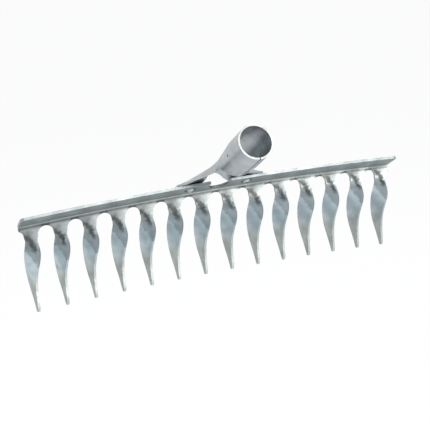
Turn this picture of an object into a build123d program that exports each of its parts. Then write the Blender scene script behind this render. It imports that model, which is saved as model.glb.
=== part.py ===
from build123d import *
from math import asin, atan2, cos, degrees, exp, pi, radians, sin, sqrt
import os

# Garden rake head: a toothed bar folded from one sheet, a socket rolled from another,
# and two rivets that hold them together.
# X runs along the bar and the teeth point down, along -Z.
# The socket rises from the bar towards -Y. The origin is the centre of its mouth.

# Toothed bar, in millimetres and degrees
bar_sheet = 2.5
tooth_count = 14
tooth_pitch = 28.0
left_overhang = 11.0      # bar beyond the middle of its first tooth
right_overhang = 8.3      # and of its last tooth
bar_crown_radius = 3400.0  # the fold is a long flat arc, highest at the middle
flange_depth = 21.0
flange_rise = 30.5        # slope of the flange and of the socket above level
fold_radius = 2.0         # inside the fold
flange_corner = 3.0

# Slots and teeth
slot_width = 15.4
slot_drop = 3.4           # from the fold down to the round top of a slot
tooth_length = 80.5       # from the top of a slot to the tip
neck_straight = 1.2       # flat stretch of tooth below the round of the slot
belly_width = 17.2
belly_place = 0.39        # share of the tooth's length
belly_start = 0.16
tip_width = 2.1
taper_power = 1.48
twist_angle = 81.0
twist_reach = 0.244       # share of the tooth's length in which most of the twist happens
hook_depth = 4.8          # how far the blade bows towards +Y before its tip
hook_start = 0.24
hook_wave = 0.94          # share of the bow's whole wave that the blade runs through
blade_stations = 7

# Socket
socket_sheet = 1.6
socket_length = 120.0     # from the fold to the mouth
handle_diameter = 28.0
handle_clearance = 0.7
axis_height = 5.0         # axis of the bore above the underside of the flange
cylinder_length = 32.0    # straight bore behind the mouth
waist_place = 46.0        # where the cone meets the open throat
waist_radius = 11.1       # bore of the cone there
opening_end = 68.0        # the underside is open up to here
opening_corner = 19.0
seam_gap = 0.8
nail_hole = 2.6
nail_place = 90.0

# Saddle, the part of the socket that lies on the flange
arch_radius = 10.6
wing_reach = 44.0
seat_margin = 0.6         # flat wing between the flare and a rivet's head
front_margin = 2.5        # flat wing beyond the flare at the flange's free edge
wing_start = 2.0          # clear of the outside of the fold
seat_length = 13.5        # the wings lie flat over this length
wing_corner = 5.0
throat_steps = (0, 0.2, 0.45, 0.7, 1)  # stations of the throat, from the flange to the waist

# Notch in the flange, in line with the bore
notch_width = 21.0
notch_floor = 3.5

# Rivets
rivet_spacing = 58.0
rivet_shank = 5.0
rivet_clearance = 0.05    # around the shank, and under the head and the tail
rivet_setback = 10.0      # from the free edge of the flange
rivet_head_width = 8.8
rivet_head_height = 3.0
rivet_head_bevel = 1.1
rivet_tail_width = 8.0
rivet_tail_height = 1.8
rivet_tail_top = 4.6

slot_radius = slot_width / 2
neck_width = tooth_pitch - slot_width
teeth_reach = (tooth_count - 1) / 2 * tooth_pitch
neck_depth = slot_radius + neck_straight
neck_share = neck_depth / tooth_length
rivet_place = flange_depth - rivet_setback
bore_radius = handle_diameter / 2 + handle_clearance
cone_end = socket_length - cylinder_length
across = Vector(1, 0, 0)
up_flange = Vector(0, -cos(radians(flange_rise)), sin(radians(flange_rise)))
off_flange = Vector(0, sin(radians(flange_rise)), cos(radians(flange_rise)))
mouth = up_flange * socket_length + off_flange * axis_height


def crown(x):
    """Height of the fold at x, zero at the middle of the bar."""
    return sqrt(bar_crown_radius**2 - x**2) - bar_crown_radius


def on_flange(shape):
    """Moves a shape from flange axes (across, off the flange, up its slope) to the bar."""
    return Plane(origin=(0, 0, 0), x_dir=across, z_dir=up_flange).location * shape


def tooth_place(number):
    return (number - (tooth_count - 1) / 2) * tooth_pitch


def slot_place(number):
    return (number - tooth_count / 2) * tooth_pitch


def folded_strip():
    """The sheet of the bar, folded to its section and bowed along its length."""
    leg = slot_drop + neck_depth + bar_sheet
    free_edge = up_flange * flange_depth
    outer_edge = free_edge + off_flange * bar_sheet
    fold_height = bar_sheet * (1 - sin(radians(flange_rise))) / cos(radians(flange_rise))
    corners = [
        (0, 0, 0),
        (0, 0, -leg),
        (0, bar_sheet, -leg),
        (0, bar_sheet, fold_height),
        tuple(outer_edge),
        tuple(free_edge),
    ]
    section = make_face(Polyline(*corners, close=True))
    inner = section.vertices().sort_by_distance((0, 0, 0))[0]
    section = fillet(inner, fold_radius)
    outer = section.vertices().sort_by_distance((0, bar_sheet, fold_height))[0]
    section = fillet(outer, fold_radius + bar_sheet)
    bow_axis = Axis((0, 0, -bar_crown_radius), (0, 1, 0))
    left_turn = degrees(asin((teeth_reach + left_overhang) / bar_crown_radius))
    right_turn = degrees(asin((teeth_reach + right_overhang) / bar_crown_radius))
    return revolve(section.rotate(bow_axis, -left_turn), bow_axis, left_turn + right_turn)


def slot(number):
    """Cutter for one round-topped slot; the end slots cut only the corners of the bar."""
    middle = crown(slot_place(number)) - slot_drop - slot_radius
    round_top = Rot(90, 0, 0) * Cylinder(slot_radius, 6 * bar_sheet)
    below = Pos(0, 0, -tooth_length / 2) * Box(slot_width, 6 * bar_sheet, tooth_length)
    return Pos(slot_place(number), 0, middle) * (round_top + below)


def neck_trim(number):
    """Cutter that ends the flat neck of a tooth square, where its blade starts."""
    level = crown(tooth_place(number)) - slot_drop - neck_depth
    return Pos(tooth_place(number), 0, level - tooth_length / 2) * Box(
        tooth_pitch, 6 * bar_sheet, tooth_length
    )


def blade_width(share):
    if share < belly_start:
        return neck_width
    if share < belly_place:
        rise = (share - belly_start) / (belly_place - belly_start)
        return neck_width + (belly_width - neck_width) * (1 - cos(pi * rise)) / 2
    taper = ((share - belly_place) / (1 - belly_place)) ** taper_power
    return belly_width + (tip_width - belly_width) * taper


def blade_twist(share):
    run = max(0, share - neck_share) / twist_reach
    return radians(twist_angle) * (1 - exp(-run))


def blade_hook(share):
    run = max(0, share - hook_start) / (1 - hook_start)
    return hook_depth * sin(hook_wave * pi * run) ** 2


def blade(number):
    """One leaf-shaped tooth, twisted about its length, whose tip hooks towards -Y."""
    top = crown(tooth_place(number)) - slot_drop
    sections = []
    for station in range(blade_stations + 1):
        share = neck_share + (1 - neck_share) * station / blade_stations
        turn = blade_twist(share)
        along = Vector(cos(turn), -sin(turn), 0)
        middle = Vector(tooth_place(number), bar_sheet / 2, top - share * tooth_length)
        plane = Plane(origin=middle - along * blade_hook(share), x_dir=along, z_dir=(0, 0, 1))
        sections.append(plane * Rectangle(blade_width(share), bar_sheet))
    return loft(sections)


def rivet_places():
    return [-rivet_spacing / 2, rivet_spacing / 2]


def rivet_bore(x):
    """Cutter for a rivet hole, through flange and wing."""
    hole = Rot(90, 0, 0) * Cylinder(rivet_shank / 2 + rivet_clearance, 4 * flange_depth)
    return Pos(x, 0, rivet_place) * hole


def flange_notch():
    """Cutter for the round-bottomed notch in the flange, open at its free edge."""
    depth = 4 * bar_sheet
    floor = notch_floor + notch_width / 2
    round_floor = Pos(0, 0, floor) * (Rot(90, 0, 0) * Cylinder(notch_width / 2, depth))
    straight = Box(notch_width, depth, flange_depth, align=(Align.CENTER, Align.CENTER, Align.MIN))
    return round_floor + Pos(0, 0, floor) * straight


def toothed_bar():
    bar = folded_strip()
    free_corners = bar.edges().filter_by(lambda e: abs(e.length - bar_sheet) < 0.01)
    free_corners = free_corners.sort_by(Axis((0, 0, 0), tuple(up_flange)))[-4:]
    free_corners = [e for e in free_corners if abs((e @ 0 - e @ 1).dot(off_flange)) > bar_sheet / 2]
    bar = fillet(free_corners, flange_corner)
    bar -= [slot(number) for number in range(tooth_count + 1)]
    bar -= [neck_trim(number) for number in range(tooth_count)]
    bar -= on_flange(flange_notch())
    bar -= [on_flange(rivet_bore(x)) for x in rivet_places()]
    return bar + [blade(number) for number in range(tooth_count)]


def saddle_outline(place, flat_from):
    """Point and slope of the saddle's middle surface. Place runs from 0 at the top of the
    arch over 1 and 2, the ends of the arch and of the flare, to 3 at the wing's end."""
    radius = arch_radius + socket_sheet / 2
    wing_level = bar_sheet + socket_sheet / 2
    turn = 2 * atan2(axis_height + radius - wing_level, flat_from)
    flare = flat_from / sin(turn) - radius
    if place <= 1:
        angle = turn * place
        return Vector(radius * sin(angle), axis_height + radius * cos(angle)), angle
    if place <= 2:
        angle = turn * (2 - place)
        return Vector(flat_from - flare * sin(angle), wing_level + flare * (1 - cos(angle))), angle
    return Vector(flat_from + (place - 2) * (wing_reach - flat_from), wing_level), 0


def waist_outline(place):
    """The same for the half circle at the waist."""
    radius = waist_radius + socket_sheet / 2
    angle = radians(90) * place / 3
    return Vector(radius * sin(angle), axis_height + radius * cos(angle)), angle


def sheet_point(place, side, blend, flat_from):
    """Point on one side of the socket sheet, and its direction, from left wing to right."""
    saddle_point, saddle_angle = saddle_outline(abs(place), flat_from)
    waist_point, waist_angle = waist_outline(abs(place))
    angle = saddle_angle * (1 - blend) + waist_angle * blend
    point = saddle_point * (1 - blend) + waist_point * blend
    point += Vector(sin(angle), cos(angle)) * (side * socket_sheet / 2)
    hand = 1 if place >= 0 else -1
    return Vector(hand * point.X, point.Y), Vector(cos(angle), -hand * sin(angle))


def sheet_side(side, blend, flat_from):
    """One side of a section: wing, flare, arch, flare and wing."""
    edges = []
    for start, end in ((-3, -2), (-2, -1), (-1, 1), (1, 2), (2, 3)):
        places = (start, (start + end) / 2, end)
        stops = [sheet_point(place, side, blend, flat_from) for place in places]
        points = [point for point, _ in stops]
        if 0 < blend < 1:
            edges.append(Spline(*points, tangents=[stops[0][1], stops[2][1]]))
        elif blend == 0 and (start == -3 or end == 3):
            edges.append(Line(points[0], points[2]))
        else:
            edges.append(ThreePointArc(*points))
    return edges


def sheet_section(along, blend, flat_from):
    """Section of the socket sheet, the saddle's at blend 0 and the waist's at blend 1."""
    top = sheet_side(1, blend, flat_from)
    bottom = sheet_side(-1, blend, flat_from)
    ends = [Line(top[0] @ 0, bottom[0] @ 0), Line(top[-1] @ 1, bottom[-1] @ 1)]
    return Pos(0, 0, along) * make_face([*top, *bottom, *ends])


def saddle():
    """Wings and arch on the flange, and the throat that rises from them to the waist."""
    seat_end = wing_start + seat_length
    seat_face = sheet_section(seat_end, 0, (rivet_spacing - rivet_head_width) / 2 - seat_margin)
    seat = extrude(seat_face, amount=seat_length, dir=(0, 0, -1))
    rear_corners = seat.edges().filter_by(lambda e: abs(e.length - socket_sheet) < 0.05)
    rear_corners = [e for e in rear_corners if (e @ 0.5).Z < wing_start + 0.1]
    seat = fillet(rear_corners, wing_corner)
    throat_faces = []
    for step in throat_steps:
        along = flange_depth + (waist_place - flange_depth) * step
        blend = 1 - (1 - step) ** 2
        throat_faces.append(sheet_section(along, blend, wing_reach - front_margin))
    lift = loft([seat_face, throat_faces[0]], ruled=True)
    return seat + lift + loft(throat_faces)


def rolled_tube():
    """Cone and straight bore, rolled up to a seam along the underside."""
    cone_run = cone_end - waist_place
    cone = Cone(waist_radius + socket_sheet, bore_radius + socket_sheet, cone_run)
    cone -= Cone(waist_radius, bore_radius, cone_run)
    cylinder = Cylinder(bore_radius + socket_sheet, cylinder_length)
    cylinder -= Cylinder(bore_radius, cylinder_length)
    tube = Pos(0, 0, waist_place + cone_run / 2) * cone
    tube += Pos(0, 0, cone_end + cylinder_length / 2) * cylinder
    depth = 2 * bore_radius
    seam = Box(seam_gap, depth, socket_length, align=(Align.CENTER, Align.MAX, Align.MIN))
    tube -= Pos(0, 0, waist_place) * seam
    opening = Box(4 * bore_radius, depth, opening_end, align=(Align.CENTER, Align.MAX, Align.MIN))
    corner = opening.edges().filter_by(Axis.X).sort_by(Axis.Z)[-2:].sort_by(Axis.Y)[-1]
    tube -= fillet(corner, opening_corner)
    nail = Rot(0, -90, 0) * Cylinder(nail_hole / 2, depth, align=(Align.CENTER, Align.CENTER, Align.MIN))
    tube -= Pos(0, 0, nail_place) * nail
    return Pos(0, axis_height, 0) * tube


def handle_socket():
    socket = saddle() + rolled_tube()
    return on_flange(socket - [rivet_bore(x) for x in rivet_places()])


def rivet(x):
    """Bevelled rivet along the flange's normal, its head on the wing, its tail under the bar."""
    wing_top = bar_sheet + socket_sheet + rivet_clearance
    under_bar = crown(x) * cos(radians(flange_rise)) - rivet_clearance
    upwards = (Align.CENTER, Align.CENTER, Align.MIN)
    shank = Cylinder(rivet_shank / 2, wing_top - under_bar, align=upwards)
    head = Cylinder(rivet_head_width / 2, rivet_head_height, align=upwards)
    head = chamfer(head.edges().sort_by(Axis.Z)[-1], rivet_head_bevel)
    tail = Cone(rivet_tail_width / 2, rivet_tail_top / 2, rivet_tail_height, align=upwards)
    body = Pos(0, 0, under_bar) * (shank + Rot(180, 0, 0) * tail) + Pos(0, 0, wing_top) * head
    return Pos(x, 0, rivet_place) * (Rot(-90, 0, 0) * body)


def rivets():
    return on_flange(Compound(children=[rivet(x) for x in rivet_places()]))


def main():
    os.makedirs("parts", exist_ok=True)
    pieces = {
        "toothed_bar": toothed_bar(),
        "handle_socket": handle_socket(),
        "rivets": rivets(),
    }
    for name, piece in pieces.items():
        export_step(Pos(*(mouth * -1)) * piece, f"parts/{name}.step")
        print(name, len(piece.solids()), "solids", round(piece.volume), "mm3")


main()
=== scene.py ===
import bpy
import math
from mathutils import Matrix, Vector


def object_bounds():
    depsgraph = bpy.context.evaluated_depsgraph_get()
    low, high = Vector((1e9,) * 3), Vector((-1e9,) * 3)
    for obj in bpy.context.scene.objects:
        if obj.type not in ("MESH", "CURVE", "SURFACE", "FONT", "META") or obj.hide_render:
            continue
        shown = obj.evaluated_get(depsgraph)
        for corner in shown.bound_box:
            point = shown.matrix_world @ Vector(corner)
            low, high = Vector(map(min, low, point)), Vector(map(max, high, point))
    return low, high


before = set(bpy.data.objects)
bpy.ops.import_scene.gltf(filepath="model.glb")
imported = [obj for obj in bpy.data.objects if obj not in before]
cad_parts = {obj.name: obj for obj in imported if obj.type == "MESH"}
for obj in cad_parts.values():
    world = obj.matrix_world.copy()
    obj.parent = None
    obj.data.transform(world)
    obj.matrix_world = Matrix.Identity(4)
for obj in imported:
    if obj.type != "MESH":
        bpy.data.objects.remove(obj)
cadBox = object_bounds()
scene = bpy.context.scene
print("stage: frame loaded")

# The frame's origin is the middle of the socket's mouth. Places on the bar count from the middle
# of its fold, in millimetres.
flangeRise = math.radians(30.5)
socketLength = 120.0
axisHeight = 5.0  # of the socket's bore above the flange's underside
upFlange = Vector((0.0, -math.cos(flangeRise), math.sin(flangeRise)))
offFlange = Vector((0.0, math.sin(flangeRise), math.cos(flangeRise)))
mouthFromFold = upFlange * socketLength + offFlange * axisHeight


def linear(hexColor):  # sRGB hex to a linear colour
    channels = [int(hexColor[i:i + 2], 16) / 255 for i in (1, 3, 5)]
    return [c / 12.92 if c <= 0.04045 else ((c + 0.055) / 1.055) ** 2.4 for c in channels] + [1.0]


def newMaterial(name):
    material = bpy.data.materials.new(name)
    material.use_nodes = True
    material.node_tree.nodes.clear()
    return material


# Adds a node with its settings; an input is a value or another node's output socket
def addNode(tree, kind, inputs=None, **settings):
    node = tree.nodes.new(kind)
    for key, value in settings.items():
        setattr(node, key, value)
    for key, value in (inputs or {}).items():
        if isinstance(value, bpy.types.NodeSocket):
            tree.links.new(value, node.inputs[key])
        else:
            node.inputs[key].default_value = value
    return node


# Tone or colour that follows a value; stops are (value, grey level or hex colour)
def toneAlong(tree, value, stops):
    first, last = stops[0][0], stops[-1][0]
    share = addNode(tree, "ShaderNodeMapRange", {"Value": value, "From Min": first, "From Max": last})
    node = addNode(tree, "ShaderNodeValToRGB", {"Fac": share.outputs["Result"]})
    elements = node.color_ramp.elements
    while len(elements) < len(stops):
        elements.new(1.0)
    for element, (position, tone) in zip(elements, stops):
        element.position = (position - first) / (last - first)
        element.color = linear(tone) if isinstance(tone, str) else (tone, tone, tone, 1)
    return node.outputs["Color"]


# Nearly all values of a noise lie between the low and the high one
noiseLow = 0.3
noiseMiddle = 0.5
noiseHigh = 0.7

# What every zinc skin here shares. The relief is in mm. Painted shade in gaps and crevices is full where the
# ambient occlusion node gives less than shut, and gone where it gives more than clear.
skin = dict(cloudDetail=3.0, cloudRoughness=0.5, fineDetail=2.0, fineRoughness=0.6,
            grainInRelief=0.3, reliefDepth=0.3, shut=0.1, clear=0.55)


# Hot-dip galvanised steel: a dull silver zinc skin with a faint spangle, soft cloudy patches and
# a fine grain, blurred enough that highlights spread. Patterns are given by their size in mm; the
# grain of real zinc is finer, and is drawn half a millimetre or more across to show.
def zincSteel(name, steel, wearAndShade):
    material = newMaterial(name)
    tree = material.node_tree
    place = addNode(tree, "ShaderNodeTexCoord").outputs["Object"]
    spangle = addNode(tree, "ShaderNodeTexVoronoi", {
        "Vector": place, "Scale": 1000 / steel["spangle"]}, feature="SMOOTH_F1")
    cloud = addNode(tree, "ShaderNodeTexNoise", {
        "Vector": place, "Scale": 1000 / steel["cloud"],
        "Detail": skin["cloudDetail"], "Roughness": skin["cloudRoughness"]}).outputs["Fac"]
    grain = addNode(tree, "ShaderNodeTexNoise", {
        "Vector": place, "Scale": 1000 / steel["grain"],
        "Detail": skin["fineDetail"], "Roughness": skin["fineRoughness"]}).outputs["Fac"]
    crystal = addNode(tree, "ShaderNodeSeparateColor", {"Color": spangle.outputs["Color"]}).outputs["Red"]
    mottle = addNode(tree, "ShaderNodeMix", {
        "Factor": steel["spangleShare"], "A": cloud, "B": crystal}, data_type="FLOAT").outputs["Result"]
    zinc = toneAlong(tree, mottle, (
        (noiseLow, steel["dark"]), (noiseMiddle, steel["middle"]), (noiseHigh, steel["light"])))
    rough = addNode(tree, "ShaderNodeMapRange", {
        "Value": mottle, "From Min": noiseLow, "From Max": noiseHigh,
        "To Min": steel["roughHigh"], "To Max": steel["roughLow"]}).outputs["Result"]
    # what varies from place to place: wear, and painted light and shade
    if wearAndShade:
        shade, rough = wearAndShade(tree, place, steel, rough)
        zinc = addNode(tree, "ShaderNodeVectorMath", {0: zinc, 1: shade}, operation="MULTIPLY").outputs[0]
    # painted shade where sheets lie close together, from the ambient occlusion node
    nearby = addNode(tree, "ShaderNodeAmbientOcclusion", {"Distance": steel["creviceShadeReach"] / 1000}, samples=8)
    aoShadeFactor = addNode(tree, "ShaderNodeMapRange", {
        "Value": nearby.outputs["AO"], "From Min": skin["shut"], "From Max": skin["clear"],
        "To Min": steel["creviceShadeTone"]}).outputs["Result"]
    zinc = addNode(tree, "ShaderNodeVectorMath", {0: zinc, "Scale": aoShadeFactor}, operation="SCALE").outputs[0]
    relief = addNode(tree, "ShaderNodeMix", {
        "Factor": skin["grainInRelief"], "A": cloud, "B": grain}, data_type="FLOAT").outputs["Result"]
    bump = addNode(tree, "ShaderNodeBump", {
        "Height": relief, "Strength": steel["bump"], "Distance": skin["reliefDepth"] / 1000})
    shader = addNode(tree, "ShaderNodeBsdfPrincipled", {
        "Base Color": zinc, "Metallic": 1.0, "Roughness": rough, "Normal": bump.outputs["Normal"]})
    addNode(tree, "ShaderNodeOutputMaterial", {"Surface": shader.outputs["BSDF"]})
    return material


# In the bar's zones and at its fold, a tone of this much leaves the zinc as it is
plainTone = 0.5

# Toothed bar, with lengths in millimetres
barSteel = dict(
    dark="#90979a", middle="#99a1a2", light="#a2a9aa", roughLow=0.38, roughHigh=0.48, bump=0.15,
    # the reach and shade on the next line set painted shade in gaps and crevices, by ambient occlusion
    spangle=5.0, cloud=12.5, grain=0.7, spangleShare=0.25, creviceShadeReach=6.0, creviceShadeTone=0.25,
    # where things are on the bar; the twist is in degrees, most of it in a share of the tooth's length
    crownRadius=3400.0, pitch=28.0, sheet=2.5, slotDrop=3.4, slotRadius=7.7, neckStraight=1.2,
    toothLength=80.5, twistShare=0.244, twist=81.0,
    # painted light and shade across each tooth, for how the twisted sheet turns to the lamps: each zone comes
    # in between its start and its end in depth, and its slant moves its tones to the right by so much per
    # millimetre of depth
    # painted shade over the flange, a little darker than plain
    flangeShade=0.45,
    zones=dict(
        plate=dict(start=1.0, end=4.0, slant=0.0,
                   tones=((-6.4, 0.34), (-2.4, 0.30), (3.2, 0.50), (6.4, 0.58))),
        neck=dict(start=9.0, end=13.0, slant=0.0,
                  tones=((-4.8, 0.42), (-1.6, 0.36), (1.6, 0.35), (6.4, 0.78))),
        shoulder=dict(start=17.5, end=21.0, slant=0.0, tones=((-6.4, 0.50), (0.0, 0.41), (4.8, 0.52))),
        facet=dict(start=21.0, end=25.0, slant=0.8, tones=((-5.4, 0.88), (-3.2, 0.56))),
        belly=dict(start=38.0, end=46.0, slant=0.0, tones=((-3.0, 0.76), (6.4, 0.72))),
        tip=dict(start=48.0, end=60.0, slant=0.0, tones=((-6.4, 0.54), (6.4, 0.53)))),
    # from the fold down: a painted highlight along the bend, painted shade under it
    foldHighlightAndShade=((-1.0, 0.56), (0.6, 0.64), (1.2, 0.26), (2.4, 0.20), (4.0, 0.46), (5.0, 0.5)),
    # the painted shade along the depth of each tooth, a dark reflection of the twist: its middle, its
    # strength and its reach to each side; along the bar, how dark it is
    twistShadePath=((5.0, -8.0), (13.8, -0.1), (18.2, 1.3), (22.0, 3.4), (27.0, 4.4)),
    twistShadeEnds=((4.5, 0.0), (6.5, 0.85), (9.0, 1.0), (21.3, 1.0), (25.9, 0.0)),
    twistShadeReach=((7.2, 5.4), (18.2, 3.2)), twistShadeCore=0.9,
    twistShadeDarkest=((-190.0, 0.40), (0.0, 0.43), (190.0, 0.27)),
    # how much higher it sits per millimetre to the right, and its ragged edge
    climb=0.014, ragged=3.0, raggedShift=1.4,
    # specks that fade away from the middle of the painted shade, and their strength along the depth
    speck=2.2, speckShade=0.30, speckFade=(2.0, 7.0),
    speckEnds=((5.0, 0.4), (7.2, 1.0), (17.1, 1.0), (22.6, 0.0)),
    # the painted shade above the slots comes in this far from the middle of a tooth, and the plate
    # comes in this far below the fold; above it are the streaks from rolling
    slotPaintedShade=0.35, slotFrom=(8.5, 12.0), plateFrom=(1.2, 2.6),
    streakLength=80.0, streakWidth=2.2, streakShade=0.08,
    # the ring of painted shade round each rivet's end, by distance from the middle of a rivet
    rivetSpacing=58.0, rivetUp=11.0, rivetRingShade=((3.8, 0.25), (5.0, 0.30), (6.2, 1.0)),
    # the unbroken skin of the blades is a little bluer, and their tips a little warmer
    tints=((13.0, "#ffffff"), (19.0, "#f4faff"), (42.0, "#f4faff"), (60.0, "#fffdf8")),
    # the flange's underside, known by how nearly it faces down, was never rubbed and is rougher
    underMatte=0.22, underFacing=(-0.7, -0.4))


# Places on the bar in mm: place along it, depth below its bowed fold, place beside the middle of a
# tooth, and place across the sheet with the blade's twist undone
def toothPlaces(tree, fromFold, bar):
    axes = addNode(tree, "ShaderNodeSeparateXYZ", {0: fromFold}).outputs
    x = axes["X"]
    bow = addNode(tree, "ShaderNodeMath", {0: x, 1: x}, operation="MULTIPLY").outputs[0]
    drop = addNode(tree, "ShaderNodeMath", {
        0: bow, 1: -0.5 / bar["crownRadius"]}, operation="MULTIPLY").outputs[0]
    depth = addNode(tree, "ShaderNodeMath", {0: drop, 1: axes["Z"]}, operation="SUBTRACT").outputs[0]
    half = bar["pitch"] / 2
    shifted = addNode(tree, "ShaderNodeMath", {0: x, 1: half}, operation="SUBTRACT").outputs[0]
    beside = addNode(tree, "ShaderNodeMath", {0: shifted, 1: half, 2: -half}, operation="WRAP").outputs[0]
    # the twist comes in fast below the neck and dies away down the blade
    twistFrom = bar["slotDrop"] + bar["slotRadius"] + bar["neckStraight"]
    twistReach = bar["twistShare"] * bar["toothLength"]
    run = addNode(tree, "ShaderNodeMapRange", {
        "Value": depth, "From Min": twistFrom, "From Max": twistFrom + twistReach,
        "To Min": 0.0, "To Max": -1.0}, clamp=False).outputs["Result"]
    down = addNode(tree, "ShaderNodeMath", {0: run, 1: 0.0}, operation="MINIMUM").outputs[0]
    rest = addNode(tree, "ShaderNodeMath", {0: down}, operation="EXPONENT").outputs[0]
    turn = addNode(tree, "ShaderNodeMapRange", {
        "Value": rest, "From Min": 1.0, "From Max": 0.0,
        "To Min": 0.0, "To Max": math.radians(bar["twist"])}).outputs["Result"]
    inward = addNode(tree, "ShaderNodeMath", {
        0: axes["Y"], 1: bar["sheet"] / 2}, operation="SUBTRACT").outputs[0]
    section = addNode(tree, "ShaderNodeCombineXYZ", {"X": beside, "Y": inward}).outputs[0]
    untwisted = addNode(tree, "ShaderNodeVectorRotate", {
        "Vector": section, "Angle": turn}, rotation_type="Z_AXIS").outputs[0]
    across = addNode(tree, "ShaderNodeSeparateXYZ", {0: untwisted}).outputs["X"]
    return x, depth, beside, across


# Painted shade across the root of each tooth, standing in for the dark reflection of the twist: a dark
# ragged band from the left shoulder of its neck down to the right edge of its blade
def twistShadeTones(tree, place, bar, x, climbed, drift):
    # a ramp holds values from 0 to 1, so the path goes through it as a share of its own span
    middles = [middle for _, middle in bar["twistShadePath"]]
    left = min(middles)
    span = max(middles) - left
    path = toneAlong(tree, climbed, [(depth, (middle - left) / span) for depth, middle in bar["twistShadePath"]])
    middle = addNode(tree, "ShaderNodeMath", {0: path, 1: span, 2: left}, operation="MULTIPLY_ADD").outputs[0]
    fromMiddle = addNode(tree, "ShaderNodeMath", {0: drift, 1: middle}, operation="SUBTRACT").outputs[0]
    off = addNode(tree, "ShaderNodeMath", {0: fromMiddle}, operation="ABSOLUTE").outputs[0]
    (topDepth, topReach), (footDepth, footReach) = bar["twistShadeReach"]
    reach = addNode(tree, "ShaderNodeMapRange", {
        "Value": climbed, "From Min": topDepth, "From Max": footDepth,
        "To Min": topReach, "To Max": footReach}).outputs["Result"]
    core = addNode(tree, "ShaderNodeMapRange", {
        "Value": off, "From Min": bar["twistShadeCore"], "From Max": reach,
        "To Min": 1.0, "To Max": 0.0}, interpolation_type="SMOOTHSTEP").outputs["Result"]
    ends = toneAlong(tree, climbed, bar["twistShadeEnds"])
    twistShade = addNode(tree, "ShaderNodeMath", {0: core, 1: ends}, operation="MULTIPLY").outputs[0]
    darkest = toneAlong(tree, x, bar["twistShadeDarkest"])
    twistShadeTone = addNode(tree, "ShaderNodeMapRange", {
        "Value": twistShade, "To Min": 1.0, "To Max": darkest}).outputs["Result"]
    # specks in and beside the painted shade
    specks = addNode(tree, "ShaderNodeTexNoise", {
        "Vector": place, "Scale": 1000 / bar["speck"],
        "Detail": skin["cloudDetail"], "Roughness": skin["fineRoughness"]}).outputs["Fac"]
    swing = addNode(tree, "ShaderNodeMapRange", {
        "Value": specks, "From Min": noiseLow, "From Max": noiseHigh,
        "To Min": -1.0, "To Max": 1.0}).outputs["Result"]
    along = toneAlong(tree, climbed, bar["speckEnds"])
    fadeStart, fadeEnd = bar["speckFade"]
    aside = addNode(tree, "ShaderNodeMapRange", {
        "Value": off, "From Min": fadeStart, "From Max": fadeEnd,
        "To Min": bar["speckShade"], "To Max": 0.0}).outputs["Result"]
    strength = addNode(tree, "ShaderNodeMath", {0: along, 1: aside}, operation="MULTIPLY").outputs[0]
    speckTone = addNode(tree, "ShaderNodeMath", {
        0: swing, 1: strength, 2: 1.0}, operation="MULTIPLY_ADD").outputs[0]
    return twistShadeTone, speckTone


# Painted light and shade down a tooth, for how the twisted sheet turns to the lamps: its plate, neck,
# shoulder, a flat facet beside the twist, belly and tip
def zoneLightAndShade(tree, bar, depth, drift):
    tone = bar["flangeShade"]
    for zone in bar["zones"].values():
        lean = addNode(tree, "ShaderNodeMath", {
            0: depth, 1: -zone["slant"], 2: zone["end"] * zone["slant"]},
            operation="MULTIPLY_ADD").outputs[0]
        leaning = addNode(tree, "ShaderNodeMath", {0: drift, 1: lean}, operation="ADD").outputs[0]
        reached = addNode(tree, "ShaderNodeMapRange", {
            "Value": depth, "From Min": zone["start"], "From Max": zone["end"]},
            interpolation_type="SMOOTHSTEP").outputs["Result"]
        tone = addNode(tree, "ShaderNodeMix", {
            "Factor": reached, "A": tone, "B": toneAlong(tree, leaning, zone["tones"])},
            data_type="FLOAT").outputs["Result"]
    return tone


# Painted shade above the round top of each slot, and faint streaks from rolling along the flange
def plateTones(tree, bar, fromFold, depth, beside):
    plateStart, plateEnd = bar["plateFrom"]
    onPlate = addNode(tree, "ShaderNodeMapRange", {
        "Value": depth, "From Min": plateStart, "From Max": plateEnd}).outputs["Result"]
    aside = addNode(tree, "ShaderNodeMath", {0: beside}, operation="ABSOLUTE").outputs[0]
    dullStart, dullEnd = bar["slotFrom"]
    aboveSlot = addNode(tree, "ShaderNodeMapRange", {
        "Value": aside, "From Min": dullStart, "From Max": dullEnd,
        "To Min": 1.0, "To Max": bar["slotPaintedShade"]}, interpolation_type="SMOOTHSTEP").outputs["Result"]
    slotShadeTone = addNode(tree, "ShaderNodeMix", {
        "Factor": onPlate, "A": 1.0, "B": aboveSlot}, data_type="FLOAT").outputs["Result"]
    long = 1 / bar["streakLength"]
    fine = 1 / bar["streakWidth"]
    stretched = addNode(tree, "ShaderNodeVectorMath", {
        0: fromFold, 1: (long, fine, fine)}, operation="MULTIPLY").outputs[0]
    streaks = addNode(tree, "ShaderNodeTexNoise", {
        "Vector": stretched, "Scale": 1.0, "Detail": skin["fineDetail"]}).outputs["Fac"]
    streak = addNode(tree, "ShaderNodeMapRange", {
        "Value": streaks, "From Min": noiseLow, "From Max": noiseHigh,
        "To Min": 1.0 - bar["streakShade"], "To Max": 1.0 + bar["streakShade"]}).outputs["Result"]
    streakTone = addNode(tree, "ShaderNodeMix", {
        "Factor": onPlate, "A": streak, "B": 1.0}, data_type="FLOAT").outputs["Result"]
    return slotShadeTone, streakTone
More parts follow.
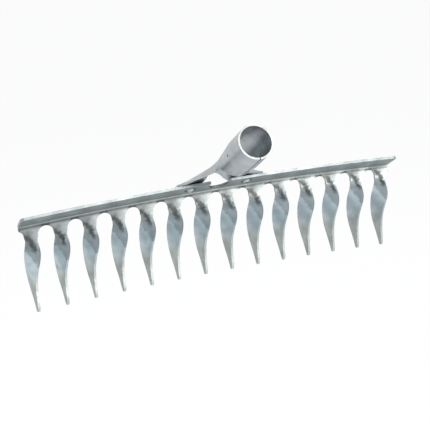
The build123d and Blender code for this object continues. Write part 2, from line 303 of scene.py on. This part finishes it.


# How the bar's zinc differs from place to place: its tone, which holds painted light and shade as well
# as specks and streaks, and how rough it is
def barWearAndShade(tree, place, bar, rough):
    fromFold = addNode(tree, "ShaderNodeVectorMath", {
        0: place, 1: (1000.0, 1000.0, 1000.0), 2: mouthFromFold}, operation="MULTIPLY_ADD").outputs[0]
    x, depth, beside, across = toothPlaces(tree, fromFold, bar)
    ragged = addNode(tree, "ShaderNodeTexNoise", {
        "Vector": place, "Scale": 1000 / bar["ragged"],
        "Detail": skin["cloudDetail"], "Roughness": skin["fineRoughness"]}).outputs["Fac"]
    jitter = addNode(tree, "ShaderNodeMapRange", {
        "Value": ragged, "From Min": noiseLow, "From Max": noiseHigh,
        "To Min": -bar["raggedShift"], "To Max": bar["raggedShift"]}, clamp=False).outputs["Result"]
    drift = addNode(tree, "ShaderNodeMath", {0: across, 1: jitter}, operation="ADD").outputs[0]
    # the painted shade of the twist, and the specks with it, sit a little higher on each tooth to the right
    climbed = addNode(tree, "ShaderNodeMath", {
        0: x, 1: bar["climb"], 2: depth}, operation="MULTIPLY_ADD").outputs[0]
    # a dark ring of painted shade round each rivet's end; the two rivets mirror each other
    rivet = upFlange * bar["rivetUp"] + Vector((bar["rivetSpacing"] / 2, 0.0, 0.0))
    mirrored = addNode(tree, "ShaderNodeVectorMath", {0: fromFold}, operation="ABSOLUTE").outputs[0]
    toRivet = addNode(tree, "ShaderNodeVectorMath", {
        0: mirrored, 1: tuple(abs(c) for c in rivet)}, operation="DISTANCE").outputs["Value"]
    tones = [*twistShadeTones(tree, place, bar, x, climbed, drift),
             *plateTones(tree, bar, fromFold, depth, beside),
             toneAlong(tree, depth, bar["foldHighlightAndShade"]),
             toneAlong(tree, toRivet, bar["rivetRingShade"]),
             1 / plainTone ** 2]
    shade = zoneLightAndShade(tree, bar, climbed, drift)
    for tone in tones:
        shade = addNode(tree, "ShaderNodeMath", {0: shade, 1: tone}, operation="MULTIPLY").outputs[0]
    tint = toneAlong(tree, depth, bar["tints"])
    shade = addNode(tree, "ShaderNodeVectorMath", {0: tint, "Scale": shade}, operation="SCALE").outputs[0]
    normal = addNode(tree, "ShaderNodeTexCoord").outputs["Normal"]
    facing = addNode(tree, "ShaderNodeSeparateXYZ", {0: normal}).outputs["Z"]
    downMost, downLeast = bar["underFacing"]
    under = addNode(tree, "ShaderNodeMapRange", {
        "Value": facing, "From Min": downMost, "From Max": downLeast,
        "To Min": bar["underMatte"], "To Max": 0.0}).outputs["Result"]
    return shade, addNode(tree, "ShaderNodeMath", {0: rough, 1: under}, operation="ADD").outputs[0]


# Socket. The cut face at its mouth is bare steel, warmer and rougher than the zinc, and its tint
# also darkens it as painted shade against the lamps' glare; it is known by how nearly it faces
# along the bore.
socketSteel = dict(
    dark="#a6acb0", middle="#aeb4b8", light="#b6bcbf", roughLow=0.32, roughHigh=0.40, bump=0.15,
    # the reach and shade on the next line set painted shade in gaps and crevices, by ambient occlusion
    spangle=5.0, cloud=11.0, grain=0.7, spangleShare=0.2, creviceShadeReach=6.0, creviceShadeTone=0.10,
    cutTintAndShade="#efece4", cutMatte=0.08, cutFacing=(0.9, 0.97))


def socketWearAndShade(tree, place, socket, rough):
    normal = addNode(tree, "ShaderNodeTexCoord").outputs["Normal"]
    outward = addNode(tree, "ShaderNodeVectorMath", {
        0: normal, 1: upFlange}, operation="DOT_PRODUCT").outputs["Value"]
    facingLeast, facingMost = socket["cutFacing"]
    cut = addNode(tree, "ShaderNodeMapRange", {
        "Value": outward, "From Min": facingLeast, "From Max": facingMost}).outputs["Result"]
    # warmer bare steel, also darkened as painted shade against the lamps' glare
    tint = toneAlong(tree, cut, ((0.0, "#ffffff"), (1.0, socket["cutTintAndShade"])))
    matte = addNode(tree, "ShaderNodeMath", {
        0: cut, 1: socket["cutMatte"], 2: rough}, operation="MULTIPLY_ADD").outputs[0]
    return tint, matte


# Rivets, whose upset ends are a little brighter than the bar's sheet
rivetSteel = dict(
    dark="#a2a7a8", middle="#acb1b2", light="#b6bbbc", roughLow=0.30, roughHigh=0.38, bump=0.1,
    # the reach and shade on the next line set painted shade in gaps and crevices, by ambient occlusion
    spangle=2.0, cloud=3.3, grain=0.5, spangleShare=0.1, creviceShadeReach=3.0, creviceShadeTone=0.2)

finishes = {
    "toothed_bar": zincSteel("galvanisedSheetBar", barSteel, barWearAndShade),
    "handle_socket": zincSteel("galvanisedSheetSocket", socketSteel, socketWearAndShade),
    "rivets": zincSteel("galvanisedRivetSteel", rivetSteel, None),
}
for node, finish in finishes.items():
    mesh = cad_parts[node].data
    mesh.materials.clear()
    mesh.materials.append(finish)
print("stage: materials")

# Camera on the socket's side, above the bar and to its left. Its place counts from the middle of
# the fold, in metres; the nudge centres the picture.
view = dict(place=Vector((-0.41113, -1.01495, 0.29629)), right=Vector((0.91880, -0.39033, -0.05870)),
            up=Vector((0.16262, 0.23884, 0.95734)), nudgeRight=-0.00086, nudgeUp=0.00048,
            sensor=36.0, lens=99.2, farClip=20.0)
cameraData = bpy.data.cameras.new("camera")
cameraData.sensor_width = view["sensor"]
cameraData.lens = view["lens"]
cameraData.clip_end = view["farClip"]
camera = bpy.data.objects.new("camera", cameraData)
nudge = view["right"] * view["nudgeRight"] + view["up"] * view["nudgeUp"]
cameraPlace = view["place"] - mouthFromFold / 1000 + nudge
turn = Matrix((view["right"], view["up"], view["right"].cross(view["up"]))).transposed().to_4x4()
camera.matrix_world = Matrix.Translation(cameraPlace) @ turn
scene.collection.objects.link(camera)
scene.camera = camera

# Lengths here are in metres, and paperWhite is the share of white that the paper shows of itself
studio = dict(floorBelow=0.60, floorReach=12.0, floorColor="#fdfdfd", paperWhite=0.7,
              airColor="#fafbfc", airStrength=0.92, white="#ffffff", whiteStrength=1.0)


# One for rays that show the background: camera, gloss and transmission
def raysSeen(tree):
    rays = addNode(tree, "ShaderNodeLightPath").outputs
    seen = rays["Is Camera Ray"]
    for kind in ("Is Glossy Ray", "Is Transmission Ray"):
        seen = addNode(tree, "ShaderNodeMath", {0: seen, 1: rays[kind]}, operation="MAXIMUM").outputs[0]
    return seen


# The head is held by its socket, so the floor lies well below the teeth
floorLevel = cadBox[0][2] - studio["floorBelow"]
floorReach = studio["floorReach"]
floorMesh = bpy.data.meshes.new("floor")
floorMesh.from_pydata([(-floorReach, -floorReach, floorLevel), (floorReach, -floorReach, floorLevel),
                       (floorReach, floorReach, floorLevel), (-floorReach, floorReach, floorLevel)],
                      [], [(0, 1, 2, 3)])
floor = bpy.data.objects.new("floor", floorMesh)
scene.collection.objects.link(floor)

# Matte white background paper, near white to camera, gloss and transmission, shadow kept
paper = newMaterial("studioPaper")
tree = paper.node_tree
matte = addNode(tree, "ShaderNodeBsdfDiffuse", {"Color": linear(studio["floorColor"])}).outputs["BSDF"]
glow = addNode(tree, "ShaderNodeEmission", {
    "Color": linear(studio["white"]), "Strength": studio["whiteStrength"]}).outputs["Emission"]
share = addNode(tree, "ShaderNodeMath", {
    0: raysSeen(tree), 1: studio["paperWhite"]}, operation="MULTIPLY").outputs[0]
lit = addNode(tree, "ShaderNodeMixShader", {0: share, 1: matte, 2: glow}).outputs["Shader"]
addNode(tree, "ShaderNodeOutputMaterial", {"Surface": lit})
floorMesh.materials.append(paper)

# White background for camera, gloss and transmission; the air itself lights at a plain level
world = bpy.data.worlds.new("studioAir")
scene.world = world
world.use_nodes = True
tree = world.node_tree
tree.nodes.clear()
air = addNode(tree, "ShaderNodeBackground", {
    "Color": linear(studio["airColor"]), "Strength": studio["airStrength"]}).outputs[0]
white = addNode(tree, "ShaderNodeBackground", {
    "Color": linear(studio["white"]), "Strength": studio["whiteStrength"]}).outputs[0]
mixed = addNode(tree, "ShaderNodeMixShader", {0: raysSeen(tree), 1: air, 2: white}).outputs[0]
addNode(tree, "ShaderNodeOutputWorld", {"Surface": mixed})

# Soft lamps aimed at the middle of the head; each stands away from it by its distance, in metres
aim = Vector((0.0, 0.10, -0.09))
lamps = {
    "keyLight": dict(away=(0.36, -0.675, 0.645), distance=2.0, size=(0.9, 0.9), power=14.0, color="#fffdfa"),
    "frontLight": dict(away=(0.60, -0.85, -0.20), distance=1.35, size=(0.6, 0.6), power=6.5, color="#fffaf4"),
    "sideLight": dict(away=(-0.88, 0.42, -0.20), distance=1.35, size=(0.9, 0.7), power=0.35, color="#f6faff"),
    "topLight": dict(away=(-0.1, 0.3, 1.0), distance=2.2, size=(1.4, 1.0), power=6.0, color="#ffffff"),
}
for name, lamp in lamps.items():
    data = bpy.data.lights.new(name, "AREA")
    data.shape = "RECTANGLE"
    data.size, data.size_y = lamp["size"]
    data.energy = lamp["power"]
    data.color = linear(lamp["color"])[:3]
    light = bpy.data.objects.new(name, data)
    away = Vector(lamp["away"]).normalized()
    light.location = aim + away * lamp["distance"]
    light.rotation_euler = (-away).to_track_quat("-Z", "Y").to_euler()
    light.visible_camera = False
    scene.collection.objects.link(light)
print("stage: camera and light")

scene.view_settings.view_transform = "Standard"
